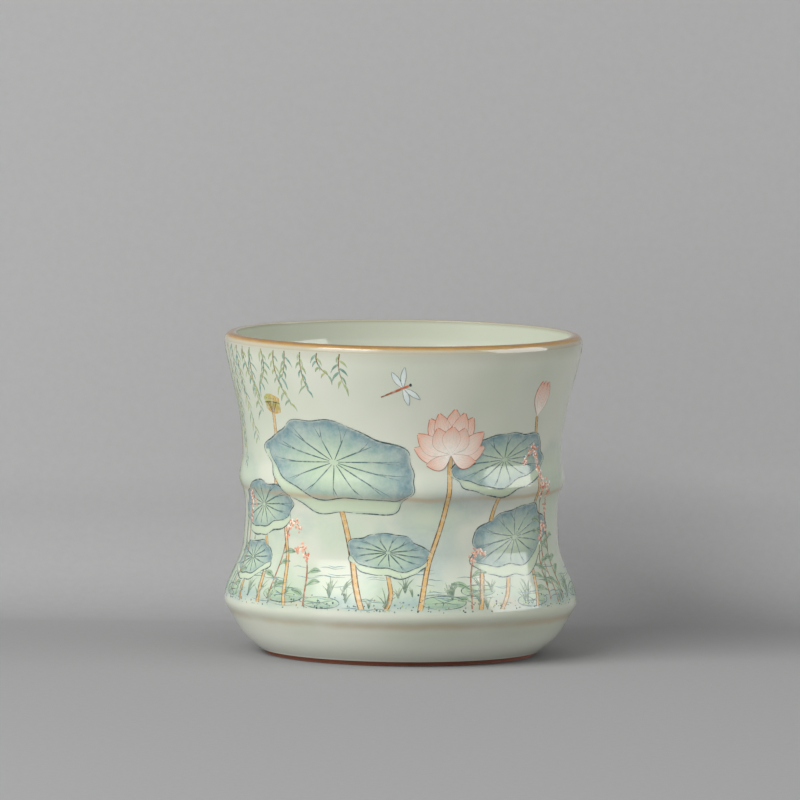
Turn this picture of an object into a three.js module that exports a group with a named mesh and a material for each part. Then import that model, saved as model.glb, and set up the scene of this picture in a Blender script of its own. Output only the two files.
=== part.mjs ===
// Handleless porcelain teacup whose wall is shaped like one joint of a bamboo cane.
// Millimetres, +Z up. The origin is the centre of the foot's tread, on the table.
import * as THREE from 'three';

// Heights of the outside, each measured from the end of the one before, table to lip
const FOOT_BARE_RISE = 1.2; // unglazed clay that shows below the glaze
const UNDERSIDE_RISE = 7.4; // glaze line to the keel, the edge under the belly
const ROLL_RISE = 3.6; // keel to the widest part of the belly
const SKIRT_RISE = 12.3; // belly to the straight stem
const STEM_RISE = 7.1; // straight stem to the waist
const SWELL_RISE = 5; // waist to the short steep step under the ridge
const STEP_RISE = 1.9; // step to the crest of the ridge
const RIDGE_RISE = 5; // crest of the ridge to the neck
const NECK_RISE = 2.5; // neck to the start of the mouth's flare
const MOUTH_RISE = 19.5; // flare of the mouth, up to the brim
const BRIM_RISE = 2.9; // brim, which turns the flare upright, to the lip band
const LIP_BAND_RISE = 1.6; // rounded lip

// Outside radius of the cane at its waist, on the surface of the glaze, and how far the
// other places of the profile stand out from it
const CANE_RADIUS = 34;
const GLAZE_LINE_TUCK = 3.4; // the glaze line draws in under the cup
const KEEL_SWELL = 2.95;
const BELLY_SWELL = 4.4;
const STEM_SWELL = 0.35;
const STEP_SWELL = 0.9;
const RIDGE_SWELL = 1.4;
const NECK_SWELL = 0.7;
const BRIM_FLARE = 4.6;
const LIP_FLARE = 5;

// Outside slopes, in millimetres of radius for each millimetre of height
const GLAZE_LINE_SLOPE = 1.45;
const KEEL_SLOPE = 0.5;
const STEM_SLOPE = -0.06;
const STEP_SLOPE = 0.46;
const MOUTH_SLOPE = 0.05;
const BRIM_SLOPE = 0.21;

// Thicknesses, square to the wall
const OUTER_GLAZE = 0.5;
const INNER_GLAZE = 0.4;
const BASE_GLAZE = 0.4;
const WALL_CLAY = 1.7;
const LIP_CLAY = 1.5;
const FLOOR_CLAY = 3.1;

// Rounding where the inside of the wall meets the floor, measured across the floor
const FLOOR_CORNER = 8;

// Foot ring
const FOOT_DEPTH = 3; // from the table to the recessed base
const FOOT_WIDTH = 2.7; // across the ring, at the glaze line
const FOOT_TAPER = 0.55; // how far the bare clay draws in towards the table
const FOOT_CHAMFER = 0.3; // along both edges of the tread
const BASE_GLAZE_CLEARANCE = 0.3; // between the base glaze and the ring around it

// Facets around the cup, and straight steps along each stretch of its profile
const FACETS = 48;
const LONG_STEPS = 4;
const SHORT_STEPS = 3;
const FLANK_STEPS = 2;
const STRAIGHT_STEPS = 1;
const LIP_STEPS = 8;

const point = (radius, height) => new THREE.Vector2(radius, height);

// A station is a place on the profile: its height, its radius and its slope.
function station(height, swell, slope) {
  return { height, radius: CANE_RADIUS + swell, slope };
}

const glazeLine = station(FOOT_BARE_RISE, -GLAZE_LINE_TUCK, GLAZE_LINE_SLOPE);
const keel = station(glazeLine.height + UNDERSIDE_RISE, KEEL_SWELL, KEEL_SLOPE);
const belly = station(keel.height + ROLL_RISE, BELLY_SWELL, 0);
const stem = station(belly.height + SKIRT_RISE, STEM_SWELL, STEM_SLOPE);
const waist = station(stem.height + STEM_RISE, 0, 0);
const step = station(waist.height + SWELL_RISE, STEP_SWELL, STEP_SLOPE);
const ridge = station(step.height + STEP_RISE, RIDGE_SWELL, 0);
const neck = station(ridge.height + RIDGE_RISE, NECK_SWELL, 0);
const mouthSwell = NECK_SWELL + (NECK_RISE * MOUTH_SLOPE) / 2; // the slope grows evenly from none
const mouth = station(neck.height + NECK_RISE, mouthSwell, MOUTH_SLOPE);
const brim = station(mouth.height + MOUTH_RISE, BRIM_FLARE, BRIM_SLOPE);
const lip = station(brim.height + BRIM_RISE, LIP_FLARE, 0);

// A bay is the smooth stretch between two stations, a cubic that leaves each at its slope.
function bayPoint(low, high, height) {
  const span = high.height - low.height;
  const t = (height - low.height) / span;
  const blend = t * t * (3 - 2 * t);
  const leave = t * (1 - t) * (1 - t);
  const arrive = t * t * (t - 1);
  const radius =
    low.radius + (high.radius - low.radius) * blend + span * (low.slope * leave + high.slope * arrive);
  const slope =
    ((high.radius - low.radius) * 6 * t * (1 - t)) / span +
    low.slope * (1 - t) * (1 - 3 * t) +
    high.slope * t * (3 * t - 2);
  return { height, radius, slope };
}

// Points of a bay from one height to another, without the first.
function bay(low, high, steps, from = low.height, to = high.height) {
  const rise = (to - from) / steps;
  return Array.from({ length: steps }, (_, i) => bayPoint(low, high, from + rise * (i + 1)));
}

// Profile points moved square to the wall, outwards for a positive distance.
function shifted(stations, distance) {
  return stations.map(({ height, radius, slope }) => point(radius + distance * Math.hypot(1, slope), height));
}

// The outside, from the glaze line to the foot's seat and on to the lip
const footStations = [glazeLine, ...bay(glazeLine, keel, FLANK_STEPS, glazeLine.height, FOOT_DEPTH)];
const wallStations = [
  footStations.at(-1),
  ...bay(glazeLine, keel, SHORT_STEPS, FOOT_DEPTH, keel.height),
  ...bay(keel, belly, SHORT_STEPS),
  ...bay(belly, stem, LONG_STEPS),
  ...bay(stem, waist, STRAIGHT_STEPS),
  ...bay(waist, step, SHORT_STEPS),
  ...bay(step, ridge, SHORT_STEPS),
  ...bay(ridge, neck, SHORT_STEPS),
  ...bay(neck, mouth, STRAIGHT_STEPS),
  ...bay(mouth, brim, LONG_STEPS),
  ...bay(brim, lip, FLANK_STEPS),
];
const footClay = shifted(footStations, -OUTER_GLAZE);
const wallClay = shifted(wallStations, -OUTER_GLAZE);
const outerSkin = [...shifted(footStations.slice(0, -1), 0), ...shifted(wallStations, 0)];

// The inside follows the outside one wall in, but runs smooth past the ridge.
const WALL = OUTER_GLAZE + WALL_CLAY + INNER_GLAZE;
const LIP_WALL = OUTER_GLAZE + LIP_CLAY + INNER_GLAZE;
const inwards = (station, wall) => ({ ...station, radius: station.radius - wall });
const floorHeight = FOOT_DEPTH + FLOOR_CLAY + INNER_GLAZE;
const innerBelly = inwards(belly, WALL);
const innerStem = inwards(stem, WALL);
const innerWaist = inwards(waist, WALL);
const innerMouth = inwards(mouth, WALL);
const innerBrim = inwards(brim, LIP_WALL);
const innerLip = inwards(lip, LIP_WALL);

// Inside profile from the middle of the floor to the lip, sunk into the wall by a depth.
function insideProfile(depth) {
  const centre = innerBelly.radius - FLOOR_CORNER;
  const across = FLOOR_CORNER + depth;
  const down = belly.height - floorHeight + depth;
  const corner = Array.from({ length: LONG_STEPS + 1 }, (_, i) => {
    const angle = (i / LONG_STEPS - 1) * (Math.PI / 2);
    return point(centre + across * Math.cos(angle), belly.height + down * Math.sin(angle));
  });
  const wall = [
    ...bay(innerBelly, innerStem, LONG_STEPS),
    ...bay(innerStem, innerWaist, STRAIGHT_STEPS),
    ...bay(innerWaist, innerMouth, SHORT_STEPS),
    ...bay(innerMouth, innerBrim, LONG_STEPS),
    ...bay(innerBrim, innerLip, FLANK_STEPS),
  ];
  return [point(0, floorHeight - depth), ...corner, ...shifted(wall, depth)];
}
const innerSkin = insideProfile(0);
const innerClay = insideProfile(INNER_GLAZE);

// A piece turned on the wheel from a profile that runs anticlockwise, radius to the right.
function turned(name, profile, material) {
  const mesh = new THREE.Mesh(new THREE.LatheGeometry(profile, FACETS), material);
  mesh.name = name;
  mesh.rotation.x = Math.PI / 2; // the lathe turns about Y, and the cup stands along Z
  return mesh;
}
const closed = (profile) => [...profile, profile[0]];

// Biscuit wall and floor, with a flat seat for the foot ring below and for the lip band above
function porcelainBody(material) {
  return turned('porcelain_body', [point(0, FOOT_DEPTH), ...wallClay, ...innerClay.toReversed()], material);
}

// Foot ring, luted under the floor: glazed over its upper flank and bare below the glaze line
function footRing(material) {
  const top = footClay[0].x;
  const tread = top - FOOT_TAPER;
  const bore = top - FOOT_WIDTH;
  const profile = [
    point(bore, FOOT_DEPTH),
    point(bore, FOOT_CHAMFER),
    point(bore + FOOT_CHAMFER, 0),
    point(tread - FOOT_CHAMFER, 0),
    point(tread, FOOT_CHAMFER),
    ...footClay,
  ];
  return turned('foot_ring', closed(profile), material);
}

// Celadon coat over the outside, from the lip band down to the glaze line on the foot ring
function outerGlaze(material) {
  const clay = [...footClay.slice(0, -1), ...wallClay];
  return turned('outer_glaze', closed([...outerSkin, ...clay.toReversed()]), material);
}

// Celadon coat over the floor and the inside of the wall
function innerGlaze(material) {
  return turned('inner_glaze', [...innerClay, ...innerSkin.toReversed()], material);
}

// Celadon disc on the recessed base, inside the foot ring
function baseGlaze(material) {
  const radius = footClay[0].x - FOOT_WIDTH - BASE_GLAZE_CLEARANCE;
  const under = FOOT_DEPTH - BASE_GLAZE;
  const profile = [point(0, under), point(radius, under), point(radius, FOOT_DEPTH), point(0, FOOT_DEPTH)];
  return turned('base_glaze', profile, material);
}

// Rounded band of iron-brown glaze that caps the lip, seated on the clay and on both coats
function lipBand(material) {
  const outer = outerSkin.at(-1).x;
  const inner = innerSkin.at(-1).x;
  const half = (outer - inner) / 2;
  const round = Array.from({ length: LIP_STEPS + 1 }, (_, i) => {
    const angle = (Math.PI * i) / LIP_STEPS;
    return point(outer - half + half * Math.cos(angle), lip.height + LIP_BAND_RISE * Math.sin(angle));
  });
  const seat = [innerClay.at(-1), wallClay.at(-1)];
  return turned('lip_band', closed([...round, ...seat]), material);
}

const biscuit = new THREE.MeshStandardMaterial({ color: 0xe6e0d2, roughness: 0.75, metalness: 0 });
const celadon = new THREE.MeshStandardMaterial({ color: 0xcdd2bf, roughness: 0.12, metalness: 0 });
const ironBrown = new THREE.MeshStandardMaterial({ color: 0xb5843f, roughness: 0.18, metalness: 0 });
const bareFoot = new THREE.MeshStandardMaterial({ color: 0x7b4a38, roughness: 0.85, metalness: 0 });

const teacup = new THREE.Group();
teacup.add(
  porcelainBody(biscuit),
  footRing(bareFoot),
  outerGlaze(celadon),
  innerGlaze(celadon),
  baseGlaze(celadon),
  lipBand(ironBrown),
);

export default teacup;
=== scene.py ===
import math
import random

import bmesh
import bpy
import numpy as np
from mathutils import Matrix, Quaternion, Vector


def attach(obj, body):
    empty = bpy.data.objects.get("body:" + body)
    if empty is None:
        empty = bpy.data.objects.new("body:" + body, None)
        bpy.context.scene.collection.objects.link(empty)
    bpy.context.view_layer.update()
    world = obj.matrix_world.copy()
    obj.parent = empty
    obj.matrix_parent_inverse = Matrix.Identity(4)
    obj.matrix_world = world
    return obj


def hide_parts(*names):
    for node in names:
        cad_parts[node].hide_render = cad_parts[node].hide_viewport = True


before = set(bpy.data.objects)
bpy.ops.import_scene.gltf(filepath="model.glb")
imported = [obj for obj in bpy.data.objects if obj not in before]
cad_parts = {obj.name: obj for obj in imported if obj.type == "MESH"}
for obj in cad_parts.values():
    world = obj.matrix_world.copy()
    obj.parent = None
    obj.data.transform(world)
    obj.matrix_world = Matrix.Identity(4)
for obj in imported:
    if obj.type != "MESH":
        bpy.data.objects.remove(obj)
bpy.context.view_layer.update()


# Porcelain body. The wall and floor of the cup in fine white clay, thrown and turned on the wheel.
# It is fired once to biscuit and then glazed, so it shows only as a line inside the foot ring.
class Shade:
    """A shader socket: arithmetic on it adds Math nodes, and node() adds any other node."""

    def __init__(self, socket):
        self.socket = socket

    def node(self, kind, settings=None, inputs=None, output=0):
        added = self.socket.id_data.nodes.new("ShaderNode" + kind)
        for name, value in (settings or {}).items():
            setattr(added, name, value)
        for name, value in (inputs or {}).items():
            plug(added.inputs[name], value)
        return Shade(added.outputs[output])

    def math(self, operation, other):
        return self.node("Math", {"operation": operation}, {0: self, 1: other})

    def blend(self, low, high):
        """Mixes two colours, with this socket as the factor."""
        return self.node("Mix", {"data_type": "RGBA"}, {0: self, 6: low, 7: high}, 2)

    def noise(self, size, detail=3.0, roughness=0.5):
        """Noise from 0 to 1 whose lumps are about that many metres across, with this socket as the place."""
        return self.node("TexNoise", {}, {"Vector": self, "Scale": 1 / size, "Detail": detail,
                                          "Roughness": roughness})

    def axis(self, number):
        """One of the three coordinates of this socket."""
        return self.node("SeparateXYZ", {}, {0: self}, number)

    def within(self, low, high):
        """0 below low, 1 above high and a smooth rise between; low may be the larger."""
        return self.node("MapRange", {"interpolation_type": "SMOOTHSTEP"},
                         {"Value": self, "From Min": low, "From Max": high})

    def __add__(self, other):
        return self.math("ADD", other)

    def __sub__(self, other):
        return self.math("SUBTRACT", other)

    def __rsub__(self, other):
        return self.node("Math", {"operation": "SUBTRACT"}, {0: other, 1: self})

    def __mul__(self, other):
        return self.math("MULTIPLY", other)

    __radd__ = __add__
    __rmul__ = __mul__


def plug(socket, value):
    if isinstance(value, Shade):
        socket.id_data.links.new(value.socket, socket)
    else:
        socket.default_value = value


def srgb(red, green, blue):
    """A colour as a screen shows it, 0 to 255, in the linear values that shaders take."""
    def linear(value):
        share = value / 255
        return share / 12.92 if share <= 0.04045 else ((share + 0.055) / 1.055) ** 2.4
    return linear(red), linear(green), linear(blue), 1.0


def new_finish(name, **sockets):
    """A material, its shader with those sockets set, and the Object coordinates to lay patterns on."""
    material = bpy.data.materials.new(name)
    material.use_nodes = True
    shader = material.node_tree.nodes["Principled BSDF"]
    for key, value in sockets.items():
        shader.inputs[key.replace("_", " ")].default_value = value
    coordinates = material.node_tree.nodes.new("ShaderNodeTexCoord")
    return material, shader.inputs, Shade(coordinates.outputs["Object"])


def bumped(place, height, depth):
    """A normal from a height pattern whose full range is that many metres deep."""
    return place.node("Bump", {}, {"Height": height, "Distance": depth})


def biscuit_finish():
    material, shader, place = new_finish("biscuit_porcelain")
    grain = place.noise(0.0006)
    plug(shader["Base Color"], grain.blend(srgb(226, 220, 205), srgb(240, 235, 224)))
    plug(shader["Roughness"], 0.7 + 0.15 * grain)
    plug(shader["Normal"], bumped(place, grain, 0.00003))
    return material


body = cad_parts["porcelain_body"]
body.data.materials.clear()
body.data.materials.append(biscuit_finish())


# Foot ring. The bare clay ring that the cup stands on, left unglazed so that it doesn't stick in
# the kiln. The iron in the clay turns its skin a reddish brown, and the tread is rubbed paler.
MM = 0.001
STATIONS = (  # height, radius and slope of the outside, from the glaze line up to the lip band
    (1.2, 30.6, 1.45),
    (8.6, 36.95, 0.5),
    (11.6, 38.4, 0.0),
    (24.5, 34.35, -0.06),
    (31.6, 34.0, 0.0),
    (36.6, 34.9, 0.46),
    (38.5, 35.4, 0.0),
    (43.5, 34.7, 0.0),
    (46.0, 34.7625, 0.05),
    (65.5, 38.6, 0.21),
    (68.4, 39.0, 0.06),
)
GLAZE_LINE = STATIONS[0][0]
OUTER_GLAZE = 0.5
FOOT_DEPTH = 3.0
FOOT_BORE = 27.02
FOOT_TREAD = 29.15
FOOT_ROUND = 0.35
FOOT_STEP = 0.4
TREAD_RUB = 0.05  # height below which the tread is rubbed most
AROUND = 240  # facets round a turned piece
SECTORS = 8  # a turned piece is spun through one sector, which is then copied round
WELD = 0.001  # points nearer than this are made one
SHARP_ANGLE = 40


def outline(stations, height):
    """Radius and slope at a height, on a smooth curve that leaves each station at its slope."""
    above = next((i for i, station in enumerate(stations) if station[0] > height), len(stations) - 1)
    low, low_radius, low_slope = stations[above - 1]
    high, high_radius, high_slope = stations[above]
    span = high - low
    t = (height - low) / span
    radius = (low_radius + (high_radius - low_radius) * t * t * (3 - 2 * t)
              + span * (low_slope * t * (1 - t) ** 2 + high_slope * t * t * (t - 1)))
    slope = ((high_radius - low_radius) * 6 * t * (1 - t) / span
             + low_slope * (1 - t) * (1 - 3 * t) + high_slope * t * (3 * t - 2))
    return radius, slope


def heights(stations, start, stop, step):
    """Heights from start to stop that are about one step apart along the curve."""
    found = [start]
    while found[-1] < stop:
        found.append(found[-1] + step / math.hypot(1, outline(stations, found[-1])[1]))
    found[-1] = stop
    return found


def coat(stations, places, depth):
    """Profile points at those heights, sunk square into the wall by a depth."""
    points = []
    for height in places:
        radius, slope = outline(stations, height)
        points.append((radius - depth * math.hypot(1, slope), height))
    return points


def arc(centre, radii, start, stop, steps):
    """Profile points on an ellipse, from one angle to another in degrees."""
    angles = [math.radians(start + (stop - start) * i / steps) for i in range(steps + 1)]
    return [(centre[0] + radii[0] * math.cos(a), centre[1] + radii[1] * math.sin(a)) for a in angles]


def made(name, form, finish):
    """An object of the mesh that a form holds, in one finish."""
    mesh = bpy.data.meshes.new(name)
    form.to_mesh(mesh)
    form.free()
    mesh.materials.append(finish)
    piece = bpy.data.objects.new(name, mesh)
    bpy.context.scene.collection.objects.link(piece)
    return piece


def turned(name, profile, around, finish, node):
    """A piece turned from a closed profile in millimetres, in place of a CAD node."""
    form = bmesh.new()
    verts = [form.verts.new((radius * MM, 0, height * MM)) for radius, height in profile]
    edges = [form.edges.new(pair) for pair in zip(verts, verts[1:] + verts[:1])]
    sector = math.tau / SECTORS
    bmesh.ops.spin(form, geom=verts + edges, cent=(0, 0, 0), axis=(0, 0, 1), angle=sector,
                   steps=around // SECTORS)
    bmesh.ops.spin(form, geom=form.verts[:] + form.edges[:] + form.faces[:], cent=(0, 0, 0),
                   axis=(0, 0, 1), angle=math.tau - sector, steps=SECTORS - 1, use_duplicate=True)
    bmesh.ops.remove_doubles(form, verts=form.verts, dist=WELD * MM)
    bmesh.ops.recalc_face_normals(form, faces=form.faces)
    piece = made(name, form, finish)
    piece.data.shade_smooth()
    piece.data.set_sharp_from_angle(angle=math.radians(SHARP_ANGLE))
    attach(piece, "root")
    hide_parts(node)
    return piece


def foot_finish():
    material, shader, place = new_finish("bare_foot_clay")
    height = place.axis(2) * (1 / MM)
    grain = place.noise(0.0004, 4.0, 0.7)
    cloud = place.noise(0.006)
    red = cloud.blend(srgb(134, 78, 58), srgb(160, 98, 76))
    speckled = grain.within(0.62, 0.75).blend(red, srgb(100, 62, 50))
    rubbed = height.within(FOOT_ROUND, TREAD_RUB) * grain.within(0.35, 0.6)
    plug(shader["Base Color"], (0.6 * rubbed).blend(speckled, srgb(176, 138, 116)))
    plug(shader["Roughness"], 0.75 + 0.2 * grain)
    plug(shader["Normal"], bumped(place, grain, 0.00004))
    return material


foot_flank = coat(STATIONS, heights(STATIONS, GLAZE_LINE, FOOT_DEPTH, FOOT_STEP), OUTER_GLAZE)
foot_profile = [
    (FOOT_BORE, FOOT_DEPTH),
    *arc((FOOT_BORE + FOOT_ROUND, FOOT_ROUND), (FOOT_ROUND, FOOT_ROUND), 180, 270, steps=4),
    *arc((FOOT_TREAD - FOOT_ROUND, FOOT_ROUND), (FOOT_ROUND, FOOT_ROUND), 270, 360, steps=4),
    *foot_flank,
]
turned("bare_foot_ring", foot_profile, AROUND, foot_finish(), "foot_ring")


# Outer glaze. A celadon coat half a millimetre thick, dipped over the outside and wiped off the foot.
# It is greener in soft clouds, thin and tan on ridge and keel, with painted light below the keel and painted
# shade under the lip.
AROUND_PAINTED = 480
SKIN_STEP = 0.5
HIDDEN_STEP = 5.0  # the side of a coat that lies on the clay
GLAZE_ROLL = 0.2  # how far the coat bulges down over the foot
LIP_SEAT = STATIONS[-1][0]
RIDGE_STEP = STATIONS[5][0]  # the short steep flank under the ridge
KEEL = STATIONS[1][0]
KEEL_LINE = KEEL + 0.8  # where the glaze runs thinnest
LINE_WANDER = 1.2  # how far the thin places wander up and down
CELADON = srgb(204, 207, 192)
CELADON_POOLED = srgb(194, 200, 182)
CELADON_PAINTED_SHADE = srgb(192, 197, 180)
THIN_GLAZE = srgb(190, 170, 140)
UNDERSIDE_PAINTED_LIGHT = srgb(230, 233, 220)
UNDER_LIP_PAINTED_SHADE = srgb(176, 174, 157)


def celadon_finish(name, gloss, outside=False):
    material, shader, place = new_finish(name, IOR=1.5)
    ripple = place.noise(0.004, 2.0)
    glaze = place.noise(0.02, 2.0).within(0.3, 0.7).blend(CELADON, CELADON_POOLED)
    if outside:
        height = place.axis(2) * (1 / MM)
        # Painted light: below the keel the glaze is painted paler towards the foot, in place of light thrown
        # up from the table.
        glaze = (0.7 * height.within(KEEL - 0.5, KEEL - 5)).blend(glaze, UNDERSIDE_PAINTED_LIGHT)
        wash = place.node("Attribute", {"attribute_name": "wash"}, {}, "Color")
        cover = place.node("Attribute", {"attribute_name": "wash"}, {}, "Alpha")
        grain = place.noise(0.0011, 4.0, 0.65).within(0.25, 0.75)
        glaze = (cover * (0.72 + 0.35 * grain)).blend(glaze, wash)
        line = height + LINE_WANDER * (place.noise(0.008) - 0.5)
        ridge = line.within(RIDGE_STEP - 0.8, RIDGE_STEP) * line.within(RIDGE_STEP + 0.9, RIDGE_STEP + 0.1)
        keel = line.within(KEEL_LINE - 1.5, KEEL_LINE) * line.within(KEEL_LINE + 1.3, KEEL_LINE)
        thin = (0.7 * ridge + 0.6 * keel) * place.noise(0.012).within(0.2, 0.6)
        glaze = thin.blend(glaze, THIN_GLAZE)
        # Painted shade: a grey band is painted under the lip, where the brim turns upright and catches more
        # light.
        lip = line.within(LIP_SEAT - 3.2, LIP_SEAT + 0.3)
        glaze = (0.65 * lip).blend(glaze, UNDER_LIP_PAINTED_SHADE)
    else:
        # Painted shade: inside the cup and in the hollow of the foot, the celadon is painted darker.
        glaze = place.noise(0.03).within(0.1, 0.4).blend(glaze, CELADON_PAINTED_SHADE)
    plug(shader["Base Color"], glaze)
    plug(shader["Roughness"], gloss + 0.06 * ripple)
    plug(shader["Normal"], bumped(place, ripple, 0.00002))
    return material


skin = coat(STATIONS, heights(STATIONS, GLAZE_LINE, LIP_SEAT, SKIN_STEP), 0)
clay = coat(STATIONS, heights(STATIONS, GLAZE_LINE, LIP_SEAT, HIDDEN_STEP), OUTER_GLAZE)
roll_centre = ((skin[0][0] + clay[0][0]) / 2, skin[0][1])
roll_radii = ((skin[0][0] - clay[0][0]) / 2, GLAZE_ROLL)
glaze_roll = arc(roll_centre, roll_radii, 180, 360, steps=6)[1:-1]
outer_glaze = turned("celadon_outside", [*glaze_roll, *skin, *reversed(clay)], AROUND_PAINTED,
                     celadon_finish("celadon_outside", 0.08, True), "outer_glaze")


# Inner glaze. The same celadon, poured in and swilled round, over the floor and the inside wall.
# It has no ridge to thin on, and is painted a shade darker than the outside, as painted shade inside the cup.
WALL = 2.6
LIP_WALL = 2.6
INNER_GLAZE = 0.4
FLOOR = 6.5
FLOOR_CORNER = 8.0  # how far the rounding reaches across the floor
CORNER_RISE = 5.7  # and how far up the wall
INSIDE_STEP = 0.8
WAIST = STATIONS[4][0]
MOUTH = STATIONS[8][0]
BRIM = STATIONS[9][0]
INSIDE = (  # height, radius and slope, from the top of the rounding up to the lip band
    (FLOOR + CORNER_RISE, STATIONS[2][1] - WALL, 0.0),
    *[(height, radius - WALL, slope) for height, radius, slope in STATIONS[3:]
      if height <= WAIST or height == MOUTH],
    (BRIM - 4.5, 35.3, 0.26),
    (BRIM - 1.3, 36.08, 0.15),
    (BRIM + 0.5, 36.34, 0.03),
    (LIP_SEAT, STATIONS[-1][1] - LIP_WALL, 0.0),
)


def inside_profile(depth, step):
    bottom, radius = INSIDE[0][:2]
    reach = (FLOOR_CORNER + depth, CORNER_RISE + depth)
    corner = arc((radius - FLOOR_CORNER, bottom), reach, -90, 0, steps=16)
    wall = coat(INSIDE, heights(INSIDE, bottom, LIP_SEAT, step), -depth)
    return [(0, FLOOR - depth), *corner, *wall[1:]]


inside = [*inside_profile(INNER_GLAZE, HIDDEN_STEP), *reversed(inside_profile(0, INSIDE_STEP))]
turned("celadon_inside", inside, AROUND, celadon_finish("celadon_inside", 0.03),
       "inner_glaze")


# Base glaze. A disc of celadon in the hollow of the foot, brushed on after the foot is trimmed.
# Its edge is rounded where the glaze drew back from the bare ring as it melted.
BASE_RADIUS = 26.7
BASE_GLAZE = 0.4
base_top = FOOT_DEPTH - BASE_GLAZE
base_profile = [
    (0, FOOT_DEPTH),
    (0, base_top),
    *[(BASE_RADIUS * share, base_top) for share in (0.25, 0.5, 0.75, 0.9)],
    *arc((BASE_RADIUS - BASE_GLAZE, FOOT_DEPTH), (BASE_GLAZE, BASE_GLAZE), 270, 360, steps=5),
]
turned("celadon_base", base_profile, AROUND, celadon_finish("celadon_base", 0.12),
       "base_glaze")


# Lip band. The rim is dressed with an iron wash that fires to a golden brown, glossy as the glaze is.
# It is darkest along the crest, where the brush overlaps, and thins out towards the wall.
AROUND_LIP = 360
LIP_RISE = 1.6
LIP_CREST = 0.9  # from the inside to the crest: the lip is rounded more to the outside
LIP_EDGE = 0.3  # height of the tight rounding on the inside
lip_outer = skin[-1][0]
lip_inner = INSIDE[-1][1]
crest_radius = lip_inner + LIP_CREST


def lip_finish():
    material, shader, place = new_finish("iron_brown_lip", IOR=1.5)
    height = place.axis(2) * (1 / MM) - LIP_SEAT
    across = place.node("VectorMath", {"operation": "MULTIPLY"}, {0: place, 1: (1.0, 1.0, 0.0)})
    radius = across.node("VectorMath", {"operation": "LENGTH"}, {0: across}, "Value") * (1 / MM)
    streak = place.noise(0.003, 3.0)
    gold = streak.within(0.3, 0.7).blend(srgb(160, 124, 66), srgb(174, 139, 83))
    crest = height.within(1.0, 1.5)
    brown = (0.85 * crest).blend(gold, srgb(134, 96, 48))
    dressed = (height + 0.3 * streak).within(0.75, 1.3)
    # Painted shade: below the brown, the upturned lower roll of the lip is painted darker than the glaze,
    # against the light it catches.
    outside = (0.1 + 0.9 * dressed).blend(srgb(176, 173, 154), brown)
    worn = height.within(0.6, LIP_RISE)
    # The inside of the lip takes the celadon painted darker as shade inside the cup, and turns tan towards
    # the crest.
    inside = worn.blend(CELADON_PAINTED_SHADE, srgb(160, 155, 135))
    turned_in = (crest_radius - radius - 0.2 * streak).within(0, 0.35)
    plug(shader["Base Color"], turned_in.blend(outside, inside))
    plug(shader["Roughness"], 0.05 + 0.05 * streak)
    return material


lip_profile = [
    *arc((crest_radius, LIP_SEAT), (lip_outer - crest_radius, LIP_RISE), 0, 90, steps=10),
    *arc((crest_radius, LIP_SEAT + LIP_RISE - LIP_EDGE), (LIP_CREST, LIP_EDGE), 90, 180, steps=8)[1:],
    *[(lip_inner, LIP_SEAT + (LIP_RISE - LIP_EDGE) * share) for share in (0.95, 0.5, 0)],
]
turned("brown_lip", lip_profile, AROUND_LIP, lip_finish(), "lip_band")


# Painted ground. A lotus pond is painted over the fired glaze and fired again at a low heat. Its first
# coats are thin washes for water, bank and mist, which the outer glaze takes up as colour on its points.
TURN = 36.0  # places round the cup are in millimetres at this radius, from the front towards +X
ROUND = math.tau * TURN
BANK_FOOT = 13.0  # below this the glaze stays bare along the keel
BANK_RISE = 17.6
SHOAL_RISE = 14.8
POND_GREEN = srgb(158, 186, 158)
POND_BLUE = srgb(134, 162, 170)
POND_OCHRE = srgb(206, 190, 150)
POOLS = (  # place round, height, half width, half height, strength and colour of each soft patch
    (-38, 24, 16, 10, 0.42, POND_GREEN),
    (4, 25, 16, 9, 0.4, POND_BLUE),
    (42, 31, 14, 16, 0.36, POND_GREEN),
    (-14, 29, 13, 7, 0.36, POND_GREEN),
    (18, 38, 16, 8, 0.3, POND_BLUE),
    (-46, 44, 10, 12, 0.26, POND_GREEN),
    (20, 14, 12, 2.5, 0.5, POND_OCHRE),
    (-26, 14, 10, 2.5, 0.5, POND_OCHRE),
    (76, 24, 18, 10, 0.4, POND_GREEN),
    (-86, 22, 20, 9, 0.4, POND_BLUE),
    (104, 30, 12, 12, 0.34, POND_GREEN),
    (-62, 36, 12, 14, 0.3, POND_GREEN),
)
hand = random.Random(24)

skin_points = np.empty(3 * len(outer_glaze.data.vertices), np.float32)
outer_glaze.data.vertices.foreach_get("co", skin_points)
skin_x, skin_y, skin_v = skin_points.reshape(-1, 3).T / MM
skin_u = np.arctan2(skin_x, -skin_y) * TURN
wash = np.zeros((len(skin_v), 4))


def rise(value, low, high):
    """0 at low, 1 at high and smooth between them; low may be the larger."""
    share = np.clip((value - low) / (high - low), 0, 1)
    return share * share * (3 - 2 * share)


def apart(u, middle):
    """How far round the cup a place lies from another, the short way."""
    return (u - middle + ROUND / 2) % ROUND - ROUND / 2


def stain(cover, colour):
    """Lays a wash over those before it; cover runs from 0 to 1 over the points of the glaze."""
    cover = np.clip(cover, 0, 1)[:, None]
    under = wash[:, 3:] * (1 - cover)
    total = cover + under
    wash[:, :3] = (np.asarray(colour)[..., :3] * cover + wash[:, :3] * under) / np.maximum(total, 0.001)
    wash[:, 3:] = total


def uneven(length, climb=0.0):
    """Wanders between -1 and 1 round the cup, and up it where climb is set, in waves of that length."""
    total = 0
    for _ in range(6):
        count = max(1, round(ROUND / length * hand.uniform(0.4, 1.6)))
        slant = climb * math.tau / length * hand.uniform(-1, 1)
        total = total + np.sin(skin_u / TURN * count + slant * skin_v + hand.uniform(0, math.tau))
    return total / 4


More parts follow.
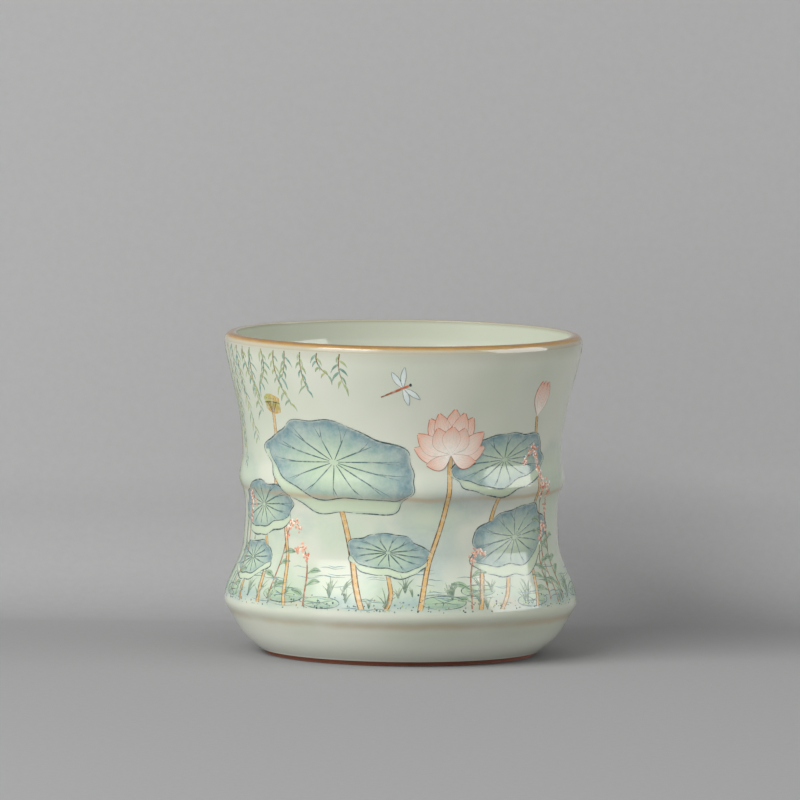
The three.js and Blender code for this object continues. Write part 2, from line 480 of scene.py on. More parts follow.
mottle = uneven(9, 1.0)
bank = BANK_RISE + 3.5 * uneven(34)
shoal = SHOAL_RISE + 1.2 * uneven(20)
foot = rise(skin_v + 0.5 * uneven(14), BANK_FOOT - 1.2, BANK_FOOT + 1.2)
stain(0.55 * foot * rise(skin_v + 2 * mottle, bank + 6, bank - 4), POND_GREEN)
stain(0.5 * foot * rise(skin_v, shoal + 1.6, shoal - 1), POND_BLUE)
for u, v, reach, height, depth, colour in POOLS:
    span = np.hypot(apart(skin_u, u) / reach, (skin_v - v) / height) + 0.18 * mottle
    stain(depth * foot * rise(span, 1.0, 0.2), colour)


# Lotus leaves. Blue-green washes shaded towards the rim, with veins and a wavy outline drawn in dark
# enamel. The near edge of a leaf is turned over and shows its paler underside. Far leaves are bare wash.
STROKE_STEP = 0.5
STROKE_SWELL = 0.25  # share of a stroke over which it swells
STROKE_TAPER = 0.55  # and over which it thins to the tip
LINE_LIFT = 0.035  # how far the middle of a stroke stands above the glaze
LINE_CROWN = 0.6  # share of that by which its sides are lower
DOT_SIDES = 7
ENAMEL_DEPTH = 0.1
LEAF_WAVES = ((5, 0.045), (8, 0.035), (13, 0.02))  # how often and how far the edge of a leaf swings
LEAF_VEINS = 13
LEAF_ARCS = 7  # strokes that make up an outline
FOLD_REACH = 1.12
FOLD_SHIFT = 0.44
VEIN_CENTRE = 0.14
VEIN_END = 0.95
LEAF_BLUE = srgb(116, 147, 152)
LEAF_DEEP = srgb(84, 116, 128)
LEAF_GREEN = srgb(172, 196, 164)
LEAF_UNDER = srgb(192, 206, 176)
LEAF_LINE = srgb(70, 96, 94)
INK = srgb(48, 58, 58)
FAR_LEAVES = (  # place round, height, half width, half depth and tilt
    (8, 33, 12, 4.6, 4), (-47, 40, 10, 5, -6), (44, 43, 11, 5.5, 8), (-29, 30, 9, 3.8, 5),
    (74, 39, 12, 6, -4), (-97, 45, 12, 6, 5), (109, 41, 10, 5, 0), (-58, 50, 9, 4.2, 8),
)
LEAVES = (  # the same, from the back to the front
    (25, 44, 13.5, 6.6, 7), (-38, 33, 11, 5.8, 9), (-16, 43, 19.5, 9.8, -9), (29, 27, 13, 7.2, 12),
    (-3, 24.5, 9.5, 4.6, -5), (-42, 21.5, 8.5, 4.2, 8), (88, 41, 18, 9.5, 8), (-72, 30, 13, 7, -10),
    (66, 26, 11, 6, -6), (-108, 37, 14, 7.4, 6), (104, 25, 10, 5, 6), (-96, 24, 9.5, 4.8, -4),
)


def on_wall(u, v, lift):
    """The place u round and v up the cup in millimetres, raised square to the glaze, in metres."""
    radius, slope = outline(STATIONS, v)
    out = lift / math.hypot(1, slope)
    angle = u / TURN
    return Vector(((radius + out) * math.sin(angle), -(radius + out) * math.cos(angle), v - out * slope)) * MM


def drawn(path):
    """A smooth line through the points of a path, in short steps."""
    path = [Vector(place) for place in path]
    ends = [path[0], *path, path[-1]]
    line = []
    for before, start, stop, after in zip(ends, ends[1:], ends[2:], ends[3:]):
        steps = max(1, math.ceil((stop - start).length / STROKE_STEP))
        for t in (step / steps for step in range(steps)):
            line.append(start + ((stop - before) * t + (2 * before - 5 * start + 4 * stop - after) * t ** 2
                                 + (3 * start - before - 3 * stop + after) * t ** 3) / 2)
    return [*line, path[-1]]


def shown(line, front):
    """First and last steps of each stretch of a line that no leaf in front of it hides."""
    runs = []
    for step, place in enumerate(line):
        if any(leaf.hides(place) for leaf in front):
            continue
        if runs and runs[-1][1] == step - 1:
            runs[-1][1] = step
        else:
            runs.append([step, step])
    return [(first, last) for first, last in runs if last > first]


def mixed(first, second, share):
    return [a + (b - a) * share for a, b in zip(first, second)]


def new_enamel():
    form = bmesh.new()
    form.verts.layers.float_color.new("paint")
    return form


def brush(form, path, width, colour, tip=None, ends=(0.4, 0.1), lift=LINE_LIFT, front=()):
    """One stroke of enamel along a path. It swells from the first touch and thins towards the tip."""
    line = drawn(path)
    paint = form.verts.layers.float_color["paint"]
    load = hand.uniform(0.88, 1.1)
    for first, last in shown(line, front):
        for vert in bmesh.ops.create_grid(form, x_segments=last - first, y_segments=2, size=1)["verts"]:
            step = first + round((vert.co.x + 1) / 2 * (last - first))
            along, across = step / (len(line) - 1), vert.co.y
            heading = line[min(step + 1, len(line) - 1)] - line[max(step - 1, 0)]
            side = Vector((-heading.y, heading.x)).normalized()
            swell = min(1, ends[0] + (1 - ends[0]) * along / STROKE_SWELL,
                        ends[1] + (1 - ends[1]) * (1 - along) / STROKE_TAPER)
            spot = line[step] + side * (across * swell * width / 2)
            vert.co = on_wall(spot.x, spot.y, lift * (1 - LINE_CROWN * across * across))
            vert[paint] = [load * value for value in mixed(colour, tip or colour, along)[:3]] + [1]


def dot(form, u, v, width, colour, lift=0.06):
    """A touch of the brush's point: a low round bead of enamel."""
    paint = form.verts.layers.float_color["paint"]
    load = hand.uniform(0.85, 1.12)
    stretch = hand.uniform(0.75, 1.25)
    bead = bmesh.ops.create_circle(form, cap_ends=True, cap_tris=True, segments=DOT_SIDES, radius=width / 2)
    for vert in bead["verts"]:
        height = lift if vert.co.length < 0.1 * width else 0.0
        vert.co = on_wall(u + vert.co.x * stretch, v + vert.co.y / stretch, height)
        vert[paint] = [load * value for value in colour[:3]] + [1]


def enamel_finish():
    material, shader, place = new_finish("overglaze_enamel", IOR=1.5)
    paint = place.node("Attribute", {"attribute_name": "paint"}, {}, "Color")
    thin = place.noise(0.0009, 3.0)
    plug(shader["Base Color"], (0.45 * thin.within(0.4, 0.75)).blend(paint, CELADON))
    plug(shader["Roughness"], 0.14 + 0.12 * thin)
    return material


enamel = enamel_finish()


def fired(name, form):
    """Makes a piece of the enamel that is laid in a form, with its thickness down into the glaze."""
    for face in form.faces:
        face.smooth = True
    for edge in form.edges:
        edge.smooth = not edge.is_boundary
    piece = made(name, form, enamel)
    depth = piece.modifiers.new("enamel_depth", "SOLIDIFY")
    depth.thickness = ENAMEL_DEPTH * MM
    depth.offset = -1
    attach(piece, "root")


class LotusLeaf:
    """A leaf seen from above its near edge, reach and height being half its width and depth."""

    def __init__(self, u, v, reach, height, tilt):
        self.u, self.v = u, v
        self.reach, self.height = reach, height
        self.lean = math.radians(tilt)
        self.waves = [(count, size, hand.uniform(0, math.tau)) for count, size in LEAF_WAVES]

    def edge(self, angle):
        return 1 + sum(size * np.sin(count * angle + start) for count, size, start in self.waves)

    def share(self, across, up):
        """0 in the middle of the leaf and 1 on its edge."""
        return np.hypot(across, up) / self.edge(np.arctan2(up, across))

    def folded(self, across, up):
        """Over 1 on the near edge that is turned over."""
        return self.share(across / FOLD_REACH, (up - FOLD_SHIFT) / FOLD_REACH)

    def within(self, u, v):
        """Where a place on the cup lies across and up the leaf."""
        du, dv = apart(u, self.u), v - self.v
        across = du * math.cos(self.lean) + dv * math.sin(self.lean)
        up = dv * math.cos(self.lean) - du * math.sin(self.lean)
        return across / self.reach, up / self.height

    def spot(self, across, up):
        """The place on the cup of a point of the leaf."""
        across, up = across * self.reach, up * self.height
        return (self.u + across * math.cos(self.lean) - up * math.sin(self.lean),
                self.v + across * math.sin(self.lean) + up * math.cos(self.lean))

    def hides(self, place):
        return self.share(*self.within(*place)) < 0.98

    def lay_wash(self, strength, soft):
        across, up = self.within(skin_u, skin_v)
        share = self.share(across, up)
        inside = strength * rise(share, 1.02, soft)
        rim = rise(share, 0.1, 1.0)
        streak = 0.5 + 0.5 * np.cos(LEAF_VEINS * np.arctan2(up - VEIN_CENTRE, across))
        body = np.outer(1 - rim, LEAF_GREEN) + np.outer(rim, LEAF_BLUE)
        stain(inside * (0.76 + 0.2 * rim - 0.2 * streak * rim + 0.14 * mottle), body)
        stain(0.55 * inside * rise(share, 0.78, 1.0), LEAF_DEEP)
        stain(0.92 * inside * rise(self.folded(across, up), 0.98, 1.04) * (up < 0), LEAF_UNDER)

    def vein(self, form, front, first, start, stop, width):
        """A vein from a share of the way out, which swings from one angle to another."""
        path = []
        for share in np.linspace(first, VEIN_END, 12):
            aim = start + (stop - start) * (share - first) / (VEIN_END - first)
            reached = share * self.edge(aim)
            across, up = reached * math.cos(aim), reached * math.sin(aim) + VEIN_CENTRE * (1 - share)
            if up < 0 and self.folded(across, up) > 0.98:
                break
            path.append(self.spot(across, up))
        if len(path) > 2:
            brush(form, path, width, LEAF_LINE, mixed(LEAF_LINE, LEAF_BLUE, 0.6), front=front)

    def draw(self, form, front):
        for turn in range(LEAF_VEINS):
            angle = math.tau * turn / LEAF_VEINS
            fork = angle + hand.choice((-1, 1)) * hand.uniform(0.1, 0.17)
            self.vein(form, front, 0.06, angle, angle, 0.3)
            self.vein(form, front, 0.5, angle, fork, 0.2)
        start = hand.uniform(0, math.tau)
        for turn in range(LEAF_ARCS):
            angles = start + math.tau / LEAF_ARCS * (turn + np.linspace(0, 0.96, 16))
            path = [self.spot(self.edge(a) * math.cos(a), self.edge(a) * math.sin(a)) for a in angles]
            brush(form, path, hand.uniform(0.22, 0.36), LEAF_LINE, INK, ends=(0.3, 0.3), front=front)
        angles = np.linspace(math.radians(190), math.radians(350), 40)
        reached = FOLD_REACH * self.edge(angles)
        fold = zip(reached * np.cos(angles), FOLD_SHIFT + reached * np.sin(angles))
        fold = [self.spot(across, up) for across, up in fold if self.share(across, up) < 0.99]
        brush(form, fold, 0.26, LEAF_LINE, INK, ends=(0.3, 0.3), front=front)


for place in FAR_LEAVES:
    LotusLeaf(*place).lay_wash(strength=0.34, soft=0.6)
leaves = new_enamel()
lotus_leaves = [LotusLeaf(*place) for place in LEAVES]
for number, leaf in enumerate(lotus_leaves):
    leaf.lay_wash(strength=1.0, soft=0.95)
    leaf.draw(leaves, lotus_leaves[number + 1:])
fired("lotus_leaves", leaves)


# Lotus stems. Long ochre strokes from the water up to the leaves and flowers, each loaded darker on
# one side and dotted with small thorns. They pass behind the leaves.
STEM_OCHRE = srgb(200, 164, 106)
STEM_SEPIA = srgb(112, 86, 56)
STEMS = (  # width, place round of the root, then the places that the stem passes through
    (1.25, -8, (-10, 19), (-12, 27), (-14, 34)),
    (1.1, 4, (6, 22), (10, 34), (11, 46)),
    (1.0, 22, (24, 16), (26, 21)),
    (0.9, 32, (35, 26), (36, 40), (34, 54)),
    (0.9, -26, (-29, 26), (-32, 42), (-32, 55)),
    (0.9, -41, (-42, 15), (-42, 19)),
    (0.9, -3, (-2, 16), (-3, 21)),
    (1.0, -34, (-35, 20), (-37, 28)),
    (1.0, 17, (20, 26), (24, 39)),
    (1.2, 84, (84, 22), (86, 33)),
    (1.0, -72, (-71, 17), (-72, 23)),
    (0.9, 66, (65, 16), (66, 21)),
    (1.1, -108, (-106, 21), (-107, 30)),
    (1.0, -90, (-88, 26), (-86, 46)),
    (0.9, 72, (73, 30), (69, 54)),
    (0.9, 104, (103, 16), (104, 21)),
    (0.9, -96, (-97, 16), (-96, 20)),
)


def lotus_stem(form, path, width):
    line = drawn(path)
    brush(form, path, width, STEM_OCHRE, ends=(0.9, 0.7), front=lotus_leaves)
    for side, share in ((-1, 0.28), (1, 0.2)):
        edge = [place + Vector((side * 0.46 * width, 0)) for place in line[::4]]
        brush(form, edge, share * width, STEM_SEPIA, ends=(0.6, 0.4), lift=0.05, front=lotus_leaves)
    for place in line[3:-3:3]:
        if hand.random() < 0.7 and not any(leaf.hides(place) for leaf in lotus_leaves):
            aside = hand.uniform(-0.4, 0.4) * width
            dot(form, place.x + aside, place.y, hand.uniform(0.18, 0.32), INK, lift=0.07)


stems = new_enamel()
for width, root, *path in STEMS:
    lotus_stem(stems, [(root, BANK_FOOT), *path], width)
fired("lotus_stems", stems)


# Lotus flowers. Petals of thick opaque white under a pink-orange that deepens to the tip, each drawn
# round and veined with a fine line. Buds are the same petals, closed, and the pod is an olive cup.
PETAL_STEP = 0.55
FLOWER_LIFT = 0.06  # thick enough to cover the lines of a leaf behind
PETAL_WHITE = srgb(240, 234, 222)
PETAL_PINK = srgb(222, 150, 118)
PETAL_LINE = srgb(164, 92, 70)
PETAL_VEIN = mixed(PETAL_PINK, PETAL_WHITE, 0.2)
PETAL_EDGE = mixed(PETAL_LINE, PETAL_WHITE, 0.15)
PETAL_RISE = 0.008  # how far each petal of a flower stands above the one before
POD_GREEN = srgb(158, 168, 96)
POD_OCHRE = srgb(190, 152, 84)
STAMEN = srgb(206, 174, 92)
PETALS = (  # angle, length, width and bend of each petal, layer by layer from the back to the front
    ((-34, 9.2, 4.0, 0.3), (34, 9.2, 4.0, -0.3), (0, 9.8, 4.2, 0.0), (-17, 9.4, 4.0, 0.2),
     (18, 9.3, 4.0, -0.2)),
    ((-82, 8.4, 3.6, 0.9), (80, 8.2, 3.6, -0.9), (-58, 8.8, 3.9, 0.8), (56, 8.9, 3.9, -0.8)),
    ((-112, 6.0, 3.0, 0.8), (110, 6.2, 3.0, -0.8), (-30, 6.6, 3.9, 0.7), (32, 6.4, 3.8, -0.7),
     (2, 6.0, 4.2, 0.2)),
)
BUD_PETALS = ((-9, 2.6, 0.5), (9, 2.6, -0.5), (0, 2.9, 0.0))  # angle, width and bend
BUD_LENGTH = 7.6
STAMENS = 26
POD_SEEDS = (-1.5, -0.75, 0, 0.75, 1.5)
FLOWERS = ((11, 46.5, 1.0), (-86, 46, 1.05))  # place round, height and size
BUDS = ((34, 54, 1.0, 6), (69, 54, 0.9, -8))  # the same, and the lean
PODS = ((-32, 54, 1.0),)


def petal(form, root, tip, width, bend, colours, lift, fullness=1.2):
    """A petal or blade from root to tip, widest past its middle. Returns its places by share."""
    root, tip = Vector(root), Vector(tip)
    axis = tip - root
    side = Vector((-axis.y, axis.x)).normalized()
    paint = form.verts.layers.float_color["paint"]

    def place(along, across):
        half = 0.5 * width * max(0.05, math.sin(math.pi * along ** fullness)) ** 0.8
        return root + axis * along + side * (4 * bend * along * (1 - along) + across * half)

    steps = max(4, round(axis.length / PETAL_STEP))
    for vert in bmesh.ops.create_grid(form, x_segments=steps, y_segments=4, size=1)["verts"]:
        along, across = (vert.co.x + 1) / 2, vert.co.y
        spot = place(along, across)
        vert.co = on_wall(spot.x, spot.y, lift + 0.015 * (1 - across * across))
        vert[paint] = mixed(*colours, along ** 1.6 * (0.75 + 0.25 * across * across))
    return place


def flower_petal(form, root, angle, length, width, bend, lift):
    turn = math.radians(angle)
    tip = (root[0] + length * math.sin(turn), root[1] + length * math.cos(turn))
    place = petal(form, root, tip, width, bend, (PETAL_WHITE, PETAL_PINK), lift)
    for across in (-0.55, -0.2, 0.2, 0.55):
        vein = [place(along, across) for along in (0.3, 0.5, 0.7, 0.93)]
        brush(form, vein, 0.14, PETAL_VEIN, PETAL_LINE, ends=(0.4, 0.4), lift=lift + 0.025)
    for across in (-1, 1):
        edge = [place(along, across) for along in (0.04, 0.2, 0.4, 0.6, 0.8, 0.92, 1)]
        brush(form, edge, 0.24, PETAL_EDGE, PETAL_LINE, ends=(0.4, 0.8), lift=lift + 0.02)


def lotus_flower(form, u, v, size):
    """An open flower: a fan of petals from the back to the front, round a cluster of stamens."""
    lift = FLOWER_LIFT
    for number, layer in enumerate(PETALS):
        for angle, length, width, bend in layer:
            lean = angle + hand.uniform(-4, 4)
            flower_petal(form, (u, v), lean, size * length, size * width, size * bend, lift)
            lift += PETAL_RISE
        if number == 0:
            for _ in range(STAMENS):
                angle, length = math.radians(hand.uniform(-48, 48)), size * hand.uniform(3.5, 5.6)
                end = (u + length * math.sin(angle), v + length * math.cos(angle))
                brush(form, ((u, v + 1), end), 0.14, STAMEN, ends=(0.6, 0.6), lift=lift + 0.05)
                dot(form, *end, 0.36, STAMEN, lift=lift + 0.08)


def lotus_bud(form, u, v, size, lean):
    for angle, width, bend in BUD_PETALS:
        lift = 0.04 + 0.01 * width
        flower_petal(form, (u, v), lean + angle, size * BUD_LENGTH, size * width, size * bend, lift)


def lotus_pod(form, u, v, size):
    """A seed pod on its side: a cup that widens upwards, with a flat top and its seeds."""
    cup = ((u, v), (u + 0.2, v + 1.6 * size), (u, v + 3.2 * size))
    brush(form, cup, 4.8 * size, POD_OCHRE, POD_GREEN, ends=(0.2, 0.95))
    rim = ((u - 2.5 * size, v + 3.1 * size), (u, v + 3.35 * size), (u + 2.5 * size, v + 3.1 * size))
    brush(form, rim, 1.9 * size, POD_GREEN, POD_OCHRE, ends=(0.35, 0.35), lift=0.06)
    crease = [(across, up - 0.8 * size) for across, up in rim]
    brush(form, crease, 0.3, STEM_SEPIA, INK, ends=(0.3, 0.3), lift=0.08)
    for across in POD_SEEDS:
        dot(form, u + across * size, v + 3.25 * size, 0.5 * size, INK, lift=0.1)
        rib = ((u + 0.15 * across, v + 0.3), (u + across * size, v + 2.6 * size))
        brush(form, rib, 0.22, STEM_SEPIA, ends=(0.5, 0.5), lift=0.06)


flowers = new_enamel()
for place in FLOWERS:
    lotus_flower(flowers, *place)
for place in BUDS:
    lotus_bud(flowers, *place)
for place in PODS:
    lotus_pod(flowers, *place)
fired("lotus_flowers", flowers)


# Willow. Thin twigs hang into the picture from above the lip, drawn in sepia, with narrow leaves that
# are each one touch of a soft brush, blue-green and yellow-green by turns.
TWIG_SEPIA = srgb(150, 122, 82)
WILLOW_BLUE = srgb(118, 158, 146)
WILLOW_YELLOW = srgb(176, 186, 120)
TWIGS = (  # place round, how far it hangs down and how far it sways
    (-56, 30, 3), (-53, 22, 4), (-49, 26, 2), (-46, 15, -2), (-43, 20, 3),
    (-40, 10, 4), (-37, 14, 0.5), (-33, 8, -2), (-29, 11.5, 3), (-26, 6, -1.5),
    (-22, 8.5, 1), (-18, 5, 2.5), (-13, 6.5, 0.5), (-61, 24, -3), (-66, 17, 2),
    (-70, 11, -3), (55, 8, -2), (60, 18, -4), (63, 11, 2), (67, 14, -2),
    (92, 10, 4), (96, 17, 1), (100, 12, -2), (103, 23, 3), (108, 14, 1),
)


def willow_twig(form, u, fall, sway):
    top = LIP_SEAT - 0.3
    swing = hand.uniform(-0.9, 0.9)
    path = [(u + sway * share ** 2 + swing * math.sin(math.pi * share), top - fall * share)
            for share in np.linspace(0, 1, 6)]
    brush(form, path, 0.28, STEM_SEPIA, TWIG_SEPIA, ends=(1.0, 0.3))
    for number, place in enumerate(drawn(path)[1::2]):
        side = 1 if number % 2 else -1
        length = hand.uniform(1.5, 3.0)
        turn = math.radians(side * hand.uniform(10, 48))
        tip = place + Vector((length * math.sin(turn), -length * math.cos(turn)))
        bow = (place + tip) / 2 + Vector((0.22 * side, 0.1))
        colour = mixed(WILLOW_BLUE, WILLOW_YELLOW, hand.random() ** 1.5)
        width = hand.uniform(0.4, 0.62)
        brush(form, (place, bow, tip), width, colour, mixed(colour, LEAF_LINE, 0.4), ends=(0.25, 0.1))


willow = new_enamel()
for place in TWIGS:
    willow_twig(willow, *place)
fired("willow_twigs", willow)


# Reeds and grass. Quick tapering strokes in grey-green, with brown bulrush heads and a few plumes.
# Short tufts of darker grass stand along the edge of the water.
REED_GREY = srgb(134, 152, 120)
REED_TEAL = srgb(96, 126, 114)
REED_TIP = srgb(186, 190, 140)
PLUME = srgb(196, 160, 124)
RUSH_BROWN = srgb(164, 112, 66)
REEDS = (  # place round, height of the tip, sideways lean and width
    (60, 33, 6, 0.8), (62, 40, 5, 0.9), (64, 46, 5, 1.0), (59, 52, 4, 1.0),
    (67, 44, 6, 0.9), (-44, 38, 6, 0.8), (-48, 46, -5, 0.9), (-50, 41, 7, 0.9),
    (-53, 48, -4, 1.0), (-56, 43, 5, 0.9), (-62, 47, 4, 0.9), (-60, 54, -5, 0.9),
    (77, 36, -5, 0.8), (96, 50, 6, 1.0), (99, 57, -4, 1.0), (101, 45, 8, 0.9),
)
RUSHES = ((-57, 50, 2), (-62, 43, -2), (100, 54, 2), (97, 47, -2), (63, 50, 2))  # round, height, lean
PLUMES = ((60, 56, 6), (93, 60, 6))  # the same
PLUME_STROKES = 26
TUFTS = 72


def reed(form, u, top, lean, width):
    """A blade that rises from the bank and bows over sideways towards the tip."""
    foot = hand.uniform(BANK_FOOT + 0.2, BANK_FOOT + 1.6)
    path = [(u + lean * share ** 2.2, foot + (top - foot) * (share - 0.12 * share ** 4))
            for share in np.linspace(0, 1, 7)]
    colour = mixed(REED_GREY, REED_TEAL, hand.random())
    brush(form, path, width, colour, mixed(colour, REED_TIP, 0.7), ends=(0.6, 0.06), front=lotus_leaves)
    brush(form, path[:-1], 0.16, REED_TEAL, INK, ends=(0.5, 0.2), lift=0.055, front=lotus_leaves)


def bulrush(form, u, top, lean):
    """A straight stalk with a round brown head and a bare point above it."""
    foot, head = (u - lean, BANK_FOOT + 0.3), (u - 0.14 * lean, top - 7)
    tip, point = (u, top), (u + 0.1 * lean, top + 2.4)
    stalk = (foot, head, tip, point)
    brush(form, stalk, 0.42, STEM_OCHRE, STEM_SEPIA, ends=(0.9, 0.3), front=lotus_leaves)
    top_brown = mixed(RUSH_BROWN, STEM_SEPIA, 0.5)
    brush(form, (head, tip), 1.5, RUSH_BROWN, top_brown, ends=(0.7, 0.6), lift=0.09)


def plume(form, u, v, lean):
    """A reed's flower head: fine strokes that hang to one side of its stalk."""
    for share in np.linspace(0, 1, PLUME_STROKES):
        root = (u + 0.6 * lean * share, v - 7 * share * share + 2 * share)
        end = (root[0] + 0.35 * lean * hand.uniform(0.3, 1), root[1] - hand.uniform(1.2, 2.6))
        brush(form, (root, end), 0.24, PLUME, mixed(PLUME, STEM_SEPIA, 0.4), ends=(0.7, 0.2), lift=0.05)


def anywhere():
    """A place round the cup, picked by chance."""
    return hand.uniform(-ROUND / 2, ROUND / 2)


def tuft(form, u, v, height):
    for _ in range(hand.randint(5, 8)):
        lean = hand.uniform(-0.6, 0.6) * height
        tall = height * hand.uniform(0.6, 1.1)
        path = ((u, v), (u + 0.35 * lean, v + 0.6 * tall), (u + lean, v + tall))
        colour = mixed(REED_TEAL, INK, hand.uniform(0, 0.6))
        brush(form, path, 0.3, colour, REED_GREY, ends=(0.8, 0.1))


reeds = new_enamel()
for place in REEDS:
    reed(reeds, *place)
for place in RUSHES:
    bulrush(reeds, *place)
for place in PLUMES:
    plume(reeds, *place)
for _ in range(TUFTS):
    u, v = anywhere(), hand.uniform(BANK_FOOT, BANK_FOOT + 4.5)
    tuft(reeds, u, v, hand.uniform(2.2, 4.6))
fired("reeds_and_grass", reeds)


# Smartweed. Thin red-brown stalks along the bank with narrow leaves, each bowed under a spike of
# small pink and orange beads.
WEED_STALK = srgb(150, 100, 74)
WEED_LEAF = srgb(138, 164, 128)
WEED_TIP = mixed(WEED_LEAF, REED_TEAL, 0.6)
BEAD_SCATTER = 0.42
BEADS = (srgb(218, 150, 122), srgb(230, 182, 154), srgb(204, 122, 98), srgb(242, 218, 198))
WEEDS = (  # place round, height and lean
    (-31, 18, 6), (-21, 13, -5), (15, 13, 5), (40, 36, -9), (43, 27, -6),
    (37, 17, 5), (-47, 24, 5), (92, 24, 7), (76, 19, -6), (-65, 23, 6),
    (-80, 26, 7), (-101, 20, -7), (112, 21, 6),
)


def smartweed(form, u, height, lean):
    root = hand.uniform(BANK_FOOT + 0.1, BANK_FOOT + 1.2)
    stalk = [(u, root), (u + 0.15 * lean, root + 0.5 * height), (u + 0.55 * lean, root + 0.92 * height),
             (u + lean, root + 0.85 * height)]
    brush(form, stalk, 0.42, WEED_STALK, ends=(0.9, 0.4))
    line = drawn(stalk)
    for place in line[len(line) // 8:len(line) // 2:5]:
        side = hand.choice((-1, 1))
        tip = place + Vector((side * hand.uniform(3, 4.6), hand.uniform(0.4, 2.4)))
        blade = petal(form, place, tip, 1.2, 0.5 * side, (WEED_LEAF, WEED_TIP), lift=0.02)
        rib = [blade(along, 0) for along in (0, 0.5, 1)]
        brush(form, rib, 0.16, REED_TEAL, INK, ends=(0.6, 0.3), lift=0.075)
    for place in line[len(line) * 5 // 8:]:
        for _ in range(3):
            u, v = place.x + hand.gauss(0, BEAD_SCATTER), place.y + hand.gauss(0, BEAD_SCATTER)
            dot(form, u, v, hand.uniform(0.45, 0.75), hand.choice(BEADS), lift=0.1)


weeds = new_enamel()
for place in WEEDS:
    smartweed(weeds, *place)
fired("smartweed", weeds)


# Pads and dragonflies. Round pads float near the keel among fine ripples, duckweed and moss touched in
# with the brush's point, and dragonflies hover in the bare glaze under the lip.
PAD_GREEN = srgb(160, 186, 150)
PAD_SHADE = srgb(112, 144, 138)
PAD_VEINS = 6
PAD_NOTCH = 0.2  # half of the angle that the rim leaves open
RIPPLES = 170
SPECKS = 620
RIPPLE = srgb(126, 152, 160)
WEED_DOT = srgb(150, 168, 96)
MOSS_DOT = srgb(128, 118, 78)
WING = srgb(222, 230, 226)
WING_TIP = mixed(WING, POND_BLUE, 0.5)
DRAGONFLY = srgb(196, 100, 70)
SPECK_COLOURS = (WEED_DOT, MOSS_DOT, INK, REED_TEAL, LEAF_LINE)
PADS = (  # place round, height, half width and half depth
    (-27, 15.2, 5.5, 1.6), (-17, 14.1, 4.2, 1.2), (9, 14.6, 4.8, 1.4), (17, 17, 4.0, 1.2),
    (31, 14.4, 4.6, 1.3), (-47, 14.6, 4.2, 1.2), (52, 15, 4.6, 1.4), (79, 14.8, 5.2, 1.5),
    (98, 15, 4.4, 1.3), (-83, 15, 5.6, 1.6), (-103, 14.6, 4.2, 1.2),
)
WINGS = ((62, 4.6, 1.1), (100, 4.2, 1.2), (-58, 4.4, 1.1), (-96, 4.0, 1.2))  # angle, length and width
DRAGONFLIES = ((0, 61, 24), (84, 60, 152))  # place round, height and tilt


def lily_pad(form, u, v, reach, height):
    across, up = apart(skin_u, u) / reach, (skin_v - v) / height
    span = np.hypot(across, up)
    stain(0.8 * rise(span, 1.05, 0.85), PAD_GREEN)
    stain(0.6 * rise(span, 1.05, 0.95) * rise(up - 0.3 * across, 0.1, -0.9), PAD_SHADE)
    notch = hand.uniform(0, math.tau)
    rim = [(u + reach * math.cos(a), v + height * math.sin(a))
           for a in np.linspace(notch + PAD_NOTCH, notch - PAD_NOTCH + math.tau, 30)]
    brush(form, rim, 0.2, LEAF_LINE, ends=(0.4, 0.3))
    for angle in np.linspace(notch, notch + math.tau, PAD_VEINS):
        end = (u + 0.8 * reach * math.cos(angle), v + 0.8 * height * math.sin(angle))
        brush(form, ((u, v), end), 0.16, LEAF_LINE, PAD_SHADE, ends=(0.8, 0.1))


def dragonfly(form, u, v, tilt):
    turn = math.radians(tilt)
    along = Vector((math.cos(turn), math.sin(turn)))
    heart = Vector((u, v))
    for angle, length, width in WINGS:
        spread = turn + math.radians(angle)
        tip = heart + Vector((math.cos(spread), math.sin(spread))) * length
        wing = petal(form, heart, tip, width, 0.1, (WING, WING_TIP), lift=0.03, fullness=1.1)
        for across in (-1, 1):
            edge = [wing(share, across) for share in (0.05, 0.3, 0.6, 0.85, 1)]
            brush(form, edge, 0.12, REED_TEAL, INK, ends=(0.6, 0.6), lift=0.06)
    spine = (heart + along * 1.3, heart, heart - along * 2.5, heart - along * 5)
    brush(form, spine, 0.5, DRAGONFLY, STEM_SEPIA, ends=(0.9, 0.5), lift=0.1)
    dot(form, *(heart + along * 1.7), 0.7, INK, lift=0.1)


drift = new_enamel()
for place in PADS:
    lily_pad(drift, *place)
for _ in range(RIPPLES):
    u, v = anywhere(), hand.uniform(BANK_FOOT, BANK_FOOT + 9)
    length = hand.uniform(2.5, 8)
    path = [(u + length * share, v + 0.18 * math.sin(7 * share + u)) for share in (0, 0.3, 0.6, 1)]
    brush(drift, path, hand.uniform(0.14, 0.26), RIPPLE, REED_TEAL, ends=(0.2, 0.1), front=lotus_leaves)
for _ in range(SPECKS):
    u, v = anywhere(), BANK_FOOT - 0.5 + abs(hand.gauss(0, 1.6))
    dot(drift, u, v, hand.uniform(0.22, 0.5), hand.choice(SPECK_COLOURS))
for place in DRAGONFLIES:
    dragonfly(drift, *place)
fired("pads_and_dragonflies", drift)

stains = outer_glaze.data.color_attributes.new("wash", "FLOAT_COLOR", "POINT")
stains.data.foreach_set("color", wash.astype(np.float32).ravel())


